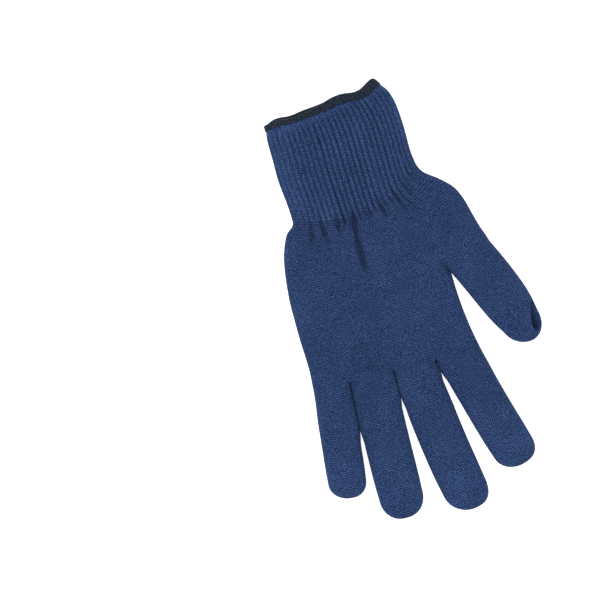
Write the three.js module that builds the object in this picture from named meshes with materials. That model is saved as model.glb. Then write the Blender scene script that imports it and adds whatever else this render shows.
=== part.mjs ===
// A knitted glove liner lying flat, as the tubes that it is knitted in, one after another: four fingers, the
// palm that takes them in, the thumb, the heel that takes in palm and thumb, and a ribbed cuff with an open
// mouth. An overlock edge wraps the cuff's rim. Units are millimetres. +X points to the thumb side, +Y to
// the cuff's mouth and +Z up. The origin is on the hand's flat underside.
import * as THREE from 'three';
import { mergeVertices } from 'three/addons/utils/BufferGeometryUtils.js';

// Knitted fabric
const handWall = 1.4;
const cuffWall = 1.6;
const wristGap = 0.55;
const tubeGap = 0.3;

// Hand
const palmLength = 96;
const palmWidth = 96.2;
const palmThickness = 9.8;
const fingerThickness = 8.2;
const edgeHeight = 3.7;
const fingerGap = 0.4;
const knuckleGroove = 9;
const forkGroove = 10;

// Fingers from the little finger to the forefinger. root and full are widths as shares of palmWidth, at the
// knuckle line and at the middle. reach is the length from the knuckle line to the tip, as a share of
// middleLength. The leans are degrees towards the thumb side, at the root and at the tip.
const middleLength = 85.5;
const fingerTable = [
  { name: 'little_finger', root: 0.216, full: 0.2215, reach: 0.719, leanRoot: -5.0, leanTip: -6.2 },
  { name: 'ring_finger', root: 0.263, full: 0.263, reach: 0.93, leanRoot: -2.6, leanTip: -0.5 },
  { name: 'middle_finger', root: 0.252, full: 0.2692, reach: 1, leanRoot: 5.3, leanTip: 11.4 },
  { name: 'forefinger', root: 0.269, full: 0.2578, reach: 0.828, leanRoot: 13.6, leanTip: 17.2 },
];

// Thumb: the fork is the crotch between thumb and palm
const thumbWidth = 27.3;
const thumbLength = 57.5;
const thumbLeanRoot = 25;
const thumbLeanTip = 18;
const forkFromKnuckles = 45;
const forkInset = 5;

// Cuff and the overlock edge round its mouth
const cuffWidth = 75;
const cuffLength = 57;
const cuffThickness = 10.2;
const cuffOffset = 1.9;
const ribsPerSide = 26;
const ribDepth = 0.6;
const rimWall = 1.0;
const rimPinchLength = 2.6;
const edgeBandWidth = 4.4;
const edgeBandLayer = 0.55;
const edgeBandGap = 0.28;
// How far the edge's outer face stands out of the cuff's skin
const edgeBandReach = edgeBandLayer + edgeBandGap - (cuffWall - rimWall) / 2;

// Section of a tube lying flat: powers of its dome and of its turned-up sides, and how far the flat spreads
const domePower = 3.2;
const sidePower = 4;
const flatSpread = 1.25;

// Columns of cells over one finger, and the slit left in the cavity where two layers pinch together
const cellsPerFinger = 6;
const pinchSlit = 0.15;

// Shares of a stretch over which one shape gives way to the next
const bowFade = 0.7;
const thinning = 0.55;
const fingerSettling = 0.35;
const tipClosing = 0.03;

// Each finger's outline: width and thickness as shares of the full ones, at a share of the length
const fingerShape = [
  { at: 0.03, width: 1.0, thickness: 1.0 },
  { at: 0.14, width: 1.0, thickness: 1.0 },
  { at: 0.32, width: 1.0, thickness: 1.0 },
  { at: 0.52, width: 1.0, thickness: 0.98 },
  { at: 0.72, width: 1.0, thickness: 0.97 },
  { at: 0.84, width: 0.98, thickness: 0.95 },
  { at: 0.9, width: 0.9, thickness: 0.91 },
  { at: 0.945, width: 0.76, thickness: 0.86 },
  { at: 0.98, width: 0.5, thickness: 0.78 },
  { at: 1.0, width: 0.22, thickness: 0.7 },
];

const thumbShape = [
  { at: 0.04, width: 1.0, thickness: 1.0 },
  { at: 0.2, width: 1.0, thickness: 1.0 },
  { at: 0.4, width: 0.99, thickness: 1.0 },
  { at: 0.58, width: 0.955, thickness: 0.98 },
  { at: 0.72, width: 0.87, thickness: 0.96 },
  { at: 0.8, width: 0.8, thickness: 0.93 },
  { at: 0.87, width: 0.69, thickness: 0.89 },
  { at: 0.935, width: 0.52, thickness: 0.84 },
  { at: 0.98, width: 0.34, thickness: 0.77 },
  { at: 1.0, width: 0.2, thickness: 0.7 },
];

// How the hand opens out from the cuff: its outer edges run from the cuff's width at the wrist (0) to the
// full palm or to the thumb's root (1)
const handOpening = [
  { down: 0.0, little: 0.0, outer: 0.0 },
  { down: 0.06, little: 0.05, outer: 0.04 },
  { down: 0.12, little: 0.34, outer: 0.12 },
  { down: 0.22, little: 0.55, outer: 0.36 },
  { down: 0.35, little: 0.73, outer: 0.6 },
  { down: 0.5, little: 0.85, outer: 0.74 },
  { down: 0.68, little: 0.94, outer: 0.83 },
  { down: 0.84, little: 0.99, outer: 0.91 },
  { down: 0.94, little: 1.0, outer: 0.97 },
  { down: 1.0, little: 1.0, outer: 1.0 },
];

// The cuff's two ends, at a share of its width from the little finger side. wrist and rim are shares of
// cuffLength past its straight ends: the ribs dip into the palm and the rim rises to a corner over the thumb.
const cuffEnds = [
  { across: 0.0, wrist: 0.0, rim: -0.049 },
  { across: 0.1, wrist: -0.04, rim: -0.011 },
  { across: 0.22, wrist: -0.075, rim: -0.019 },
  { across: 0.36, wrist: -0.1, rim: 0.0 },
  { across: 0.52, wrist: -0.108, rim: 0.022 },
  { across: 0.68, wrist: -0.05, rim: 0.05 },
  { across: 0.81, wrist: 0.035, rim: 0.036 },
  { across: 0.88, wrist: 0.1, rim: 0.062 },
  { across: 0.94, wrist: 0.165, rim: 0.11 },
  { across: 0.98, wrist: 0.21, rim: 0.125 },
  { across: 1.0, wrist: 0.23, rim: 0.112 },
];

// The cuff's sides, as shares of its half width pulled in, from the wrist up to the rim
const cuffSides = [
  { up: 0.0, little: 0.045, thumb: -0.03 },
  { up: 0.15, little: 0.035, thumb: 0.0 },
  { up: 0.42, little: -0.005, thumb: 0.01 },
  { up: 0.67, little: -0.007, thumb: 0.033 },
  { up: 0.82, little: -0.012, thumb: 0.09 },
  { up: 0.9, little: -0.02, thumb: 0.148 },
  { up: 1.0, little: -0.028, thumb: 0.215 },
  { up: 1.06, little: -0.03, thumb: 0.255 },
];

// Steps from the fork's row to the knuckle line
const palmSteps = [0.2, 0.45, 0.7, 0.88, 1];

// Gathers below the ribs and one long crease, as heights taken off the upper layer
const gatherDepth = 0.5;
const gatherReach = 16;
const gatherCount = 11;
const creaseDepth = 1.3;
const creaseLength = 38;
const creaseX = -2.5;
const creaseWidth = 2.2;

// The thumb's tip is dented along its outer side
const thumbDent = { depth: 2.4, from: 0.6, to: 0.94, across: 0.72, halfWidth: 0.26 };

// The fingers and the thumb with their own lengths
const rootSum = fingerTable.reduce((sum, { root }) => sum + root, 0);
const fingers = fingerTable.map(({ name, root, full, reach, leanRoot, leanTip }) => ({
  name,
  width: (palmWidth * root) / rootSum,
  fullWidth: palmWidth * full,
  length: middleLength * reach,
  leanRoot,
  leanTip,
}));
const thumb = {
  width: thumbWidth,
  fullWidth: thumbWidth,
  length: thumbLength,
  leanRoot: thumbLeanRoot,
  leanTip: thumbLeanTip,
};

const knuckleY = -palmLength / 2;
const wristY = palmLength / 2;
const forkY = knuckleY + forkFromKnuckles;
const forkX = palmWidth / 2 - forkInset;
const thumbPart = thumb.width / (thumb.width + palmWidth);
const forkShare = 1 - thumbPart;
const rad = THREE.MathUtils.degToRad;
const mix = THREE.MathUtils.lerp;
const smooth = (value) => THREE.MathUtils.smoothstep(value, 0, 1);

// Directions in plan at a lean towards the thumb side: straight down a finger, and square to it
function heading(lean) {
  return new THREE.Vector2(Math.sin(rad(lean)), -Math.cos(rad(lean)));
}
function sideways(lean) {
  return new THREE.Vector2(Math.cos(rad(lean)), Math.sin(rad(lean)));
}

// The thumb's root runs from the fork to thumbEnd
const fork = new THREE.Vector2(forkX, forkY);
const thumbEnd = fork.clone().addScaledVector(sideways(thumb.leanRoot), thumb.width);
const thumbRoot = fork.clone().lerp(thumbEnd, 0.5);

// A column of a table, read at any place between its rows along a smooth curve
function readTable(table, key, place, column) {
  const last = table.length - 1;
  if (place <= table[0][key]) return table[0][column];
  if (place >= table[last][key]) return table[last][column];
  const next = table.findIndex((row) => row[key] >= place);
  const slope = (k) => {
    const before = table[Math.max(0, k - 1)];
    const after = table[Math.min(last, k + 1)];
    return (after[column] - before[column]) / (after[key] - before[key]);
  };
  const low = table[next - 1];
  const high = table[next];
  const span = high[key] - low[key];
  const t = (place - low[key]) / span;
  const ease = t * t * (3 - 2 * t);
  const bend = t * (1 - t) * span * (slope(next - 1) * (1 - t) - slope(next) * t);
  return mix(low[column], high[column], ease) + bend;
}

// The upper layer is a flat-topped dome over a tube's width, with s from -1 to 1
function domeShare(s) {
  return Math.sqrt(1 - Math.min(1, Math.abs(s)) ** domePower);
}

// Height of the two layers, with inset the depth below the outer skin. The lower layer lies flat and turns up
// at its sides.
function tubeHeights(s, thickness, inset) {
  const turn = flatSpread * Math.sqrt(1 - Math.min(1, Math.abs(s)) ** sidePower);
  return {
    up: edgeHeight + (thickness - inset - edgeHeight) * domeShare(s),
    low: edgeHeight - (edgeHeight - inset) * Math.min(1, turn),
  };
}

// Columns over one finger as shares of its width, closer together at its sides
const laneShares = Array.from({ length: cellsPerFinger + 1 }, (_, cell) => (
  (Math.sin((cell / cellsPerFinger - 0.5) * Math.PI) + 1) / 2
));

// The palm's columns as shares of its width, each with its place s over its own finger, from -1 to 1
const palmColumns = [{ share: 0, s: -1 }];
let laneStart = 0;
fingers.forEach((finger) => {
  laneShares.slice(1).forEach((share) => {
    palmColumns.push({ share: (laneStart + finger.width * share) / palmWidth, s: share * 2 - 1 });
  });
  laneStart += finger.width;
});

// Columns of the hand at the wrist, as shares of the cuff's width: the palm's and then the thumb's
const palmAcross = palmColumns.map(({ share }) => share * forkShare);
const thumbAcross = laneShares.slice(1).map((share) => forkShare + share * thumbPart);

// The wrist line runs straight between the hand's columns, so the cuff's end follows the hand's exactly
const wristLine = [...palmAcross, ...thumbAcross].map((across) => ({
  across,
  y: wristY + cuffLength * readTable(cuffEnds, 'across', across, 'wrist'),
}));

function wristAt(across) {
  const next = Math.max(1, wristLine.findIndex((point) => point.across >= across));
  const low = wristLine[next - 1];
  const high = wristLine[next];
  return mix(low.y, high.y, (across - low.across) / (high.across - low.across));
}

// The cuff at a share of its width (across) and of its length (up): its middle surface's plan position
function cuffPlan(across, up) {
  const half = cuffWidth / 2;
  const left = -half * (1 - readTable(cuffSides, 'up', up, 'little')) + cuffOffset / 2;
  const right = half * (1 - readTable(cuffSides, 'up', up, 'thumb')) + cuffOffset / 2;
  const low = wristAt(across);
  const high = wristY + cuffLength * (1 + readTable(cuffEnds, 'across', across, 'rim'));
  return new THREE.Vector2(mix(left, right, across), mix(low, high, up));
}

// How much the gathers and the crease lower the upper layer of the hand, at a share of the wrist's width
function handDent(x, y, across) {
  const below = cuffPlan(across, 0).y - y;
  const fade = Math.max(0, 1 - below / gatherReach);
  const gather = (gatherDepth * fade * (1 - Math.cos(across * 2 * Math.PI * gatherCount))) / 2;
  const crease = creaseDepth * smooth(1 - below / creaseLength);
  return gather + crease * Math.exp(-(((x - creaseX) / creaseWidth) ** 2));
}

// Whether s is at a tube's side, where its two layers meet
function isSide(s) {
  return Math.abs(s) > 1 - 1e-9;
}

// Heights between the whole hand's section and that of one finger, as the groove towards a crotch deepens.
// The inner skin keeps a wall's thickness from the outer one, and a slit until the crotch closes it.
function groovedHeights(whole, own, groove, inset) {
  const heightsAt = (depth) => {
    const a = tubeHeights(whole.s, whole.thickness, depth);
    const b = tubeHeights(own.s, own.thickness, depth);
    return { up: mix(a.up, b.up, groove), low: mix(a.low, b.low, groove) };
  };
  const outer = heightsAt(0);
  const inner = heightsAt(inset);
  const atSide = isSide(whole.s);
  const atCrotch = isSide(own.s) && groove === 1;
  if (inset === 0 || atSide || atCrotch) return inner;
  return {
    up: Math.max(edgeHeight + pinchSlit, Math.min(inner.up, outer.up - inset)),
    low: Math.min(edgeHeight - pinchSlit, Math.max(inner.low, outer.low + inset)),
  };
}

// How far the wrist line bows from straight lines between its two ends and the fork's column
function wristBow(across) {
  const low = across < forkShare ? 0 : forkShare;
  const high = across < forkShare ? forkShare : 1;
  return wristAt(across) - mix(wristAt(low), wristAt(high), (across - low) / (high - low));
}

// The heel of the hand, from the wrist to the row through the fork, which parts the thumb's columns from the
// palm's. The inner skin closes the crotch one wall above the fork.
function heelRows(inset) {
  const leftEdge = cuffPlan(0, 0);
  const rightEdge = cuffPlan(1, 0);
  const forkStart = cuffPlan(forkShare, 0);
  const crotch = new THREE.Vector2(forkX, forkY + inset);
  return handOpening.map(({ down, little, outer }) => {
    const left = new THREE.Vector2(
      mix(leftEdge.x, -palmWidth / 2, little) + inset,
      mix(leftEdge.y, crotch.y, down),
    );
    const right = new THREE.Vector2(
      mix(rightEdge.x, thumbEnd.x, outer) - inset,
      mix(rightEdge.y, thumbEnd.y, down),
    );
    const middle = forkStart.clone().lerp(crotch, down);
    const bowShare = 1 - smooth(down / bowFade);
    const thickness = mix(cuffThickness, palmThickness, smooth(down / thinning));
    const groove = smooth(1 - ((1 - down) * (forkStart.y - forkY)) / forkGroove);
    const point = (from, to, share, across, ownThickness) => {
      const spot = from.clone().lerp(to, share);
      spot.y += wristBow(across) * bowShare;
      const whole = { s: across * 2 - 1, thickness };
      const own = { s: share * 2 - 1, thickness: ownThickness };
      const heights = groovedHeights(whole, own, groove, inset);
      const dent = handDent(spot.x, spot.y, across) * domeShare(whole.s) * (1 - groove);
      return { x: spot.x, y: spot.y, up: heights.up - dent, low: heights.low };
    };
    return [
      ...palmColumns.map(({ share }, k) => point(left, middle, share, palmAcross[k], palmThickness)),
      ...thumbAcross.map((across, k) => point(middle, right, laneShares[k + 1], across, fingerThickness)),
    ];
  });
}

// The palm from just below the fork's row to the knuckle line
function palmRows(inset) {
  return [tubeGap / forkFromKnuckles, ...palmSteps].map((step) => {
    const last = step === 1;
    const y = mix(forkY, knuckleY, step) + (last ? inset : 0);
    const left = -palmWidth / 2 + inset;
    const right = forkX + forkInset * step ** 2 - inset;
    const groove = last ? 1 : smooth(1 - (y - knuckleY) / knuckleGroove);
    const thickness = mix(palmThickness, fingerThickness, smooth(1 - (1 - step) / thinning));
    return palmColumns.map(({ share, s }) => {
      const heights = groovedHeights({ s: share * 2 - 1, thickness }, { s, thickness }, groove, inset);
      return { x: mix(left, right, share), y, up: heights.up, low: heights.low };
    });
  });
}

// A row straight across one tube, from its skin's outer left to its outer right point
function endRow(from, to, columns, thickness, inset) {
  const inwards = to.clone().sub(from).setLength(inset);
  const left = from.clone().add(inwards);
  const right = to.clone().sub(inwards);
  return columns.map((share) => {
    const spot = left.clone().lerp(right, share);
    const heights = tubeHeights(share * 2 - 1, thickness, inset);
    return { x: spot.x, y: spot.y, up: heights.up, low: heights.low };
  });
}

// One finger: rows across a centre line that starts at root and bends from leanRoot to leanTip, with gaps
// taken off its two sides
function fingerRows(root, finger, shape, inset, rootTilt, gaps) {
  const bend = root.clone().addScaledVector(heading(finger.leanRoot), finger.length / 2);
  const tip = bend.clone().addScaledVector(heading(finger.leanTip), finger.length / 2 - inset);
  const centreLine = new THREE.QuadraticBezierCurve(root, bend, tip);
  const start = { at: tubeGap / finger.length, width: 1, thickness: 1 };
  return [start, ...shape].map(({ at, width, thickness }) => {
    const centre = centreLine.getPoint(at);
    const tangent = centreLine.getTangent(at);
    const settled = smooth(at / fingerSettling);
    const tilt = mix(rad(rootTilt), Math.atan2(tangent.x, -tangent.y), settled);
    const across = new THREE.Vector2(Math.cos(tilt), Math.sin(tilt));
    const half = (mix(finger.width, finger.fullWidth, settled) / 2) * width;
    const reach = Math.max(half / 2, half - inset);
    const closing = smooth((1 - at) / tipClosing);
    return laneShares.map((share) => {
      const s = share * 2 - 1;
      const spot = centre.clone().addScaledVector(across, s * (reach - gaps[s < 0 ? 0 : 1] * width));
      const heights = tubeHeights(s, fingerThickness * thickness, inset);
      const dent = shape === thumbShape ? thumbDentAt(at, s) : 0;
      return {
        x: spot.x,
        y: spot.y,
        up: mix(edgeHeight, heights.up, closing) - dent,
        low: mix(edgeHeight, heights.low, closing),
      };
    });
  });
}

function thumbDentAt(at, s) {
  const along = (at - thumbDent.from) / (thumbDent.to - thumbDent.from);
  const side = (s - thumbDent.across) / thumbDent.halfWidth;
  if (along <= 0 || along >= 1 || Math.abs(side) >= 1) return 0;
  return thumbDent.depth * Math.sin(Math.PI * along) * (1 - side ** 2);
}

// Triangles between rows of points, facing up or down
function addSheet(positions, rows, layer, faceUp) {
  for (let r = 0; r + 1 < rows.length; r += 1) {
    for (let c = 0; c + 1 < rows[r].length; c += 1) {
      const corner = (row, column) => {
        const point = rows[row][column];
        return [point.x, point.y, point[layer]];
      };
      const a = corner(r, c);
      const b = corner(r + 1, c);
      const d = corner(r, c + 1);
      const e = corner(r + 1, c + 1);
      const faces = faceUp ? [a, b, e, a, e, d] : [a, e, b, a, d, e];
      faces.forEach((point) => positions.push(...point));
    }
  }
}

// The four edges of one wall at an opening: outer and inner rings joined by a flat strip
function addRim(positions, outer, inner, layer, faceUp) {
  for (let c = 0; c + 1 < outer.length; c += 1) {
    const at = (row, column) => [row[column].x, row[column].y, row[column][layer]];
    const a = at(outer, c);
    const b = at(inner, c);
    const d = at(outer, c + 1);
    const e = at(inner, c + 1);
    const faces = faceUp ? [a, b, e, a, e, d] : [a, e, b, a, d, e];
    faces.forEach((point) => positions.push(...point));
  }
}

// Corner points become one closed mesh with shared vertices, without triangles that have no area
function closedGeometry(positions) {
  const soup = new THREE.BufferGeometry();
  soup.setAttribute('position', new THREE.Float32BufferAttribute(positions, 3));
  const merged = mergeVertices(soup, 1e-4);
  const index = [];
  for (let i = 0; i < merged.index.count; i += 3) {
    const corners = [0, 1, 2].map((k) => merged.index.getX(i + k));
    if (new Set(corners).size === 3) index.push(...corners);
  }
  merged.setIndex(index);
  merged.computeVertexNormals();
  return merged;
}

// The wall between an outer and an inner skin, each a list of patches of rows, with a rim between an outer
// and an inner row at every opening: starts towards the cuff, and ends towards the fingers
function wallGeometry(outer, inner, starts, ends) {
  const positions = [];
  outer.forEach((rows) => {
    addSheet(positions, rows, 'up', true);
    addSheet(positions, rows, 'low', false);
  });
  inner.forEach((rows) => {
    addSheet(positions, rows, 'up', false);
    addSheet(positions, rows, 'low', true);
  });
  starts.forEach(([outerRow, innerRow]) => {
    addRim(positions, outerRow, innerRow, 'up', false);
    addRim(positions, outerRow, innerRow, 'low', true);
  });
  ends.forEach(([outerRow, innerRow]) => {
    addRim(positions, outerRow, innerRow, 'up', true);
    addRim(positions, outerRow, innerRow, 'low', false);
  });
  return closedGeometry(positions);
}

// The columns of one finger or thumb out of a row that spans several
function laneOf(row, lane) {
  return row.slice(lane * cellsPerFinger, (lane + 1) * cellsPerFinger + 1);
}

function handHeelGeometry() {
  const outer = heelRows(0);
  const inner = heelRows(handWall);
  const outerEnd = outer[outer.length - 1];
  const innerEnd = inner[inner.length - 1];
  const palmCount = palmColumns.length;
  const palmShares = palmColumns.map(({ share }) => share);
  const palmCorner = new THREE.Vector2(-palmWidth / 2, forkY);
  const toPalm = endRow(palmCorner, fork, palmShares, palmThickness, handWall);
  const toThumb = endRow(fork, thumbEnd, laneShares, fingerThickness, handWall);
  return wallGeometry(
    [outer],
    [inner, [innerEnd.slice(0, palmCount), toPalm], [innerEnd.slice(palmCount - 1), toThumb]],
    [[outer[0], inner[0]]],
    [[outerEnd.slice(0, palmCount), toPalm], [outerEnd.slice(palmCount - 1), toThumb]],
  );
}

function palmGeometry() {
  const outer = palmRows(0);
  const inner = palmRows(handWall);
  const outerEnd = outer[outer.length - 1];
  const innerEnd = inner[inner.length - 1];
  const toFingers = fingers.map((finger, lane) => {
    const lanePoints = laneOf(outerEnd, lane).map((point) => new THREE.Vector2(point.x, point.y));
    return endRow(lanePoints[0], lanePoints[cellsPerFinger], laneShares, fingerThickness, handWall);
  });
  return wallGeometry(
    [outer],
    [inner, ...toFingers.map((row, lane) => [laneOf(innerEnd, lane), row])],
    [[outer[0], inner[0]]],
    toFingers.map((row, lane) => [laneOf(outerEnd, lane), row]),
  );
}

function fingerGeometry(root, finger, shape, rootTilt, gaps) {
  const outer = fingerRows(root, finger, shape, 0, rootTilt, gaps);
  const inner = fingerRows(root, finger, shape, handWall, rootTilt, gaps);
  return wallGeometry([outer], [inner], [[outer[0], inner[0]]], []);
}

// 1 at the rim, where the edge presses the fabric, and 0 in the free cuff
function rimPinch(up) {
  const fromRim = (1 - up) * cuffLength;
  return smooth((edgeBandWidth + rimPinchLength - fromRim) / rimPinchLength);
}

// A point at a depth under the cuff's skin. around goes from 0 to 1 round the tube, from the little finger
// side over the upper layer first, and up goes from the wrist to the rim. The rim's lower layer is lifted, so
// that the edge that wraps it lies flat.
function cuffPoint(around, up, inset) {
  const upper = around <= 0.5;
  const s = -Math.cos(around * 2 * Math.PI);
  const lift = rimPinch(up) * edgeBandReach;
  const plan = cuffPlan((s + 1) / 2, up);
  const heights = tubeHeights(s, cuffThickness, inset + (upper ? 0 : lift));
  return new THREE.Vector3(plan.x - s * inset, plan.y, upper ? heights.up : heights.low);
}

// Shares of the way round at which the cuff's fabric is sampled, evenly spaced along the section
function evenStations(count) {
  const samples = 720;
  const lengths = [0];
  for (let i = 1; i <= samples; i += 1) {
    const step = cuffPoint(i / samples, 0.5, 0).distanceTo(cuffPoint((i - 1) / samples, 0.5, 0));
    lengths.push(lengths[i - 1] + step);
  }
  return Array.from({ length: count }, (_, k) => {
    const target = (lengths[samples] * k) / count;
    const next = lengths.findIndex((length) => length > target);
    const part = (target - lengths[next - 1]) / (lengths[next] - lengths[next - 1]);
    return (next - 1 + part) / samples;
  });
}

// A closed skin through rings of points, with the last ring joined to the first
function addTube(positions, rings) {
  rings.forEach((ring, r) => {
    const next = rings[(r + 1) % rings.length];
    ring.forEach((a, k) => {
      const b = ring[(k + 1) % ring.length];
      const d = next[k];
      const e = next[(k + 1) % ring.length];
      [a, e, b, a, d, e].forEach((point) => positions.push(point.x, point.y, point.z));
    });
  });
}

function ribbedCuffGeometry() {
  const stations = evenStations(ribsPerSide * 4);
  const wristEnd = wristGap / cuffLength;
  const bandEnd = 1 - edgeBandWidth / cuffLength;
  const freeEnd = bandEnd - rimPinchLength / cuffLength;
  const levels = [wristEnd, 0.18, 0.38, 0.58, 0.74, freeEnd, bandEnd, 1];
  const outer = [];
  const inner = [];
  levels.forEach((up) => {
    const pinch = rimPinch(up);
    const pressed = ((cuffWall - rimWall) / 2) * pinch;
    const valley = ribDepth * (1 - pinch);
    outer.push(stations.map((around, k) => cuffPoint(around, up, pressed + (k % 2) * valley)));
    inner.push(stations.map((around) => cuffPoint(around, up, cuffWall - pressed)));
  });
  const positions = [];
  addTube(positions, [...inner, ...outer.reverse()]);
  return closedGeometry(positions);
}

// The overlock edge: a U of thread over the rim, swept round the mouth. Depths are from the cuff's skin.
function overlockEdgeGeometry() {
  const rimOuter = (cuffWall - rimWall) / 2;
  const slotOuter = rimOuter - edgeBandGap;
  const slotInner = rimOuter + rimWall + edgeBandGap;
  const outside = -edgeBandReach;
  const inside = slotInner + edgeBandLayer;
  const cap = edgeBandGap + edgeBandLayer;
  const leg = edgeBandWidth - cap;
  const section = [
    { inset: slotOuter, past: -leg },
    { inset: slotOuter, past: edgeBandGap },
    { inset: slotInner, past: edgeBandGap },
    { inset: slotInner, past: -leg },
    { inset: inside, past: -leg },
    { inset: inside, past: edgeBandGap },
    { inset: (outside + inside) / 2, past: cap },
    { inset: outside, past: edgeBandGap },
    { inset: outside, past: -leg },
  ];
  const stations = evenStations(ribsPerSide * 4);
  const rings = section.map(({ inset, past }) => (
    stations.map((around) => cuffPoint(around, 1 + past / cuffLength, inset))
  ));
  const positions = [];
  addTube(positions, rings);
  return closedGeometry(positions);
}

const navyKnit = new THREE.MeshStandardMaterial({ color: 0x33476f, roughness: 0.92, metalness: 0 });
const navyRib = new THREE.MeshStandardMaterial({ color: 0x314570, roughness: 0.92, metalness: 0 });
const blackThread = new THREE.MeshStandardMaterial({ color: 0x262b33, roughness: 0.85, metalness: 0 });

const glove = new THREE.Group();

const handHeel = new THREE.Mesh(handHeelGeometry(), navyKnit);
handHeel.name = 'hand_heel';
glove.add(handHeel);

const palm = new THREE.Mesh(palmGeometry(), navyKnit);
palm.name = 'palm';
glove.add(palm);

let fingerSide = -palmWidth / 2;
fingers.forEach((finger, lane) => {
  const root = new THREE.Vector2(fingerSide + finger.width / 2, knuckleY);
  fingerSide += finger.width;
  const gaps = [lane > 0 ? fingerGap / 2 : 0, lane < fingers.length - 1 ? fingerGap / 2 : 0];
  const tube = new THREE.Mesh(fingerGeometry(root, finger, fingerShape, 0, gaps), navyKnit);
  tube.name = finger.name;
  glove.add(tube);
});

const thumbGaps = [fingerGap / 2, 0];
const thumbTube = new THREE.Mesh(
  fingerGeometry(thumbRoot, thumb, thumbShape, thumb.leanRoot, thumbGaps),
  navyKnit,
);
thumbTube.name = 'thumb';
glove.add(thumbTube);

const ribbedCuff = new THREE.Mesh(ribbedCuffGeometry(), navyRib);
ribbedCuff.name = 'ribbed_cuff';
glove.add(ribbedCuff);

const overlockEdge = new THREE.Mesh(overlockEdgeGeometry(), blackThread);
overlockEdge.name = 'overlock_edge';
glove.add(overlockEdge);

export default glove;
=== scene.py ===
import math
import random
import bmesh
import bpy
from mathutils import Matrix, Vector, noise


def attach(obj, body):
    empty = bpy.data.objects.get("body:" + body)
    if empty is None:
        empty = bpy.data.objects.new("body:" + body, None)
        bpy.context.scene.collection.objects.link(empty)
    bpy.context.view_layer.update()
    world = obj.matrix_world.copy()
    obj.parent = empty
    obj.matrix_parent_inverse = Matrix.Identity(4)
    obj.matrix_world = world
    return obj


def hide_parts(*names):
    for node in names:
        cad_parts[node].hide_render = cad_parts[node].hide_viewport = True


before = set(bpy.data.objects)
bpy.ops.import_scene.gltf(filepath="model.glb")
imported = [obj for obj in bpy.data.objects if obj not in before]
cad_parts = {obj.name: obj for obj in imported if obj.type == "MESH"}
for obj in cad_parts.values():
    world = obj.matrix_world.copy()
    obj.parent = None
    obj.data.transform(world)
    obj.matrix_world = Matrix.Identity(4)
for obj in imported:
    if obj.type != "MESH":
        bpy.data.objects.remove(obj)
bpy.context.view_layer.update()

# Lengths are in millimetres up to the moment a vertex is placed. +X is the thumb side, +Y the cuff's mouth.
mm = 0.001


def mix(low, high, share):
    return low + (high - low) * share


def smooth(value):
    value = min(1.0, max(0.0, value))
    return value * value * (3 - 2 * value)


# A column of a table of rows, read between the rows along a smooth curve
def readTable(rows, place, column):
    last = len(rows) - 1
    if place <= rows[0][0]:
        return rows[0][column]
    if place >= rows[last][0]:
        return rows[last][column]
    after = next(k for k, row in enumerate(rows) if row[0] >= place)

    def slope(k):
        before, beyond = rows[max(0, k - 1)], rows[min(last, k + 1)]
        return (beyond[column] - before[column]) / (beyond[0] - before[0])

    low, high = rows[after - 1], rows[after]
    span = high[0] - low[0]
    t = (place - low[0]) / span
    bend = t * (1 - t) * span * (slope(after - 1) * (1 - t) - slope(after) * t)
    return mix(low[column], high[column], t * t * (3 - 2 * t)) + bend


# The shape of the glove as it lies, shared by the hand, the cuff and its edge
lie = {
    "edgeHeight": 3.7,      # height at which the two layers meet along a side
    "domePower": 3.2,
    "sidePower": 4,
    "flatSpread": 1.25,
    "wristY": 48,
    "waveHeight": 0.32,     # slow unevenness of cloth laid down by hand
    "waveLength": 24,
    "lowerWave": 0.25,      # share of it in the layer that lies on the table
    "swayWidth": 0.22,      # sideways wander of the knitted columns
    "swayLength": 21,
    "swayStretch": 1.6,     # how much longer the sway is along the glove than across it
    "swaySeed": 7.3,
    "waveSeed": 2.1,
    "waveSeedStep": 3,
    "sharpEdges": 75,
    # painted shade of the yarn, which is 1 where it lies open: what a fold takes off it from foldFull deep,
    # what the valley between two ribs takes off, and the least that is left
    "foldShade": 0.82,
    "foldFull": 1.9,
    "valleyShade": 0.48,
    "leastShade": 0.05,
    "insideShade": 0.5,     # painted shade inside the hand
}

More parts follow.
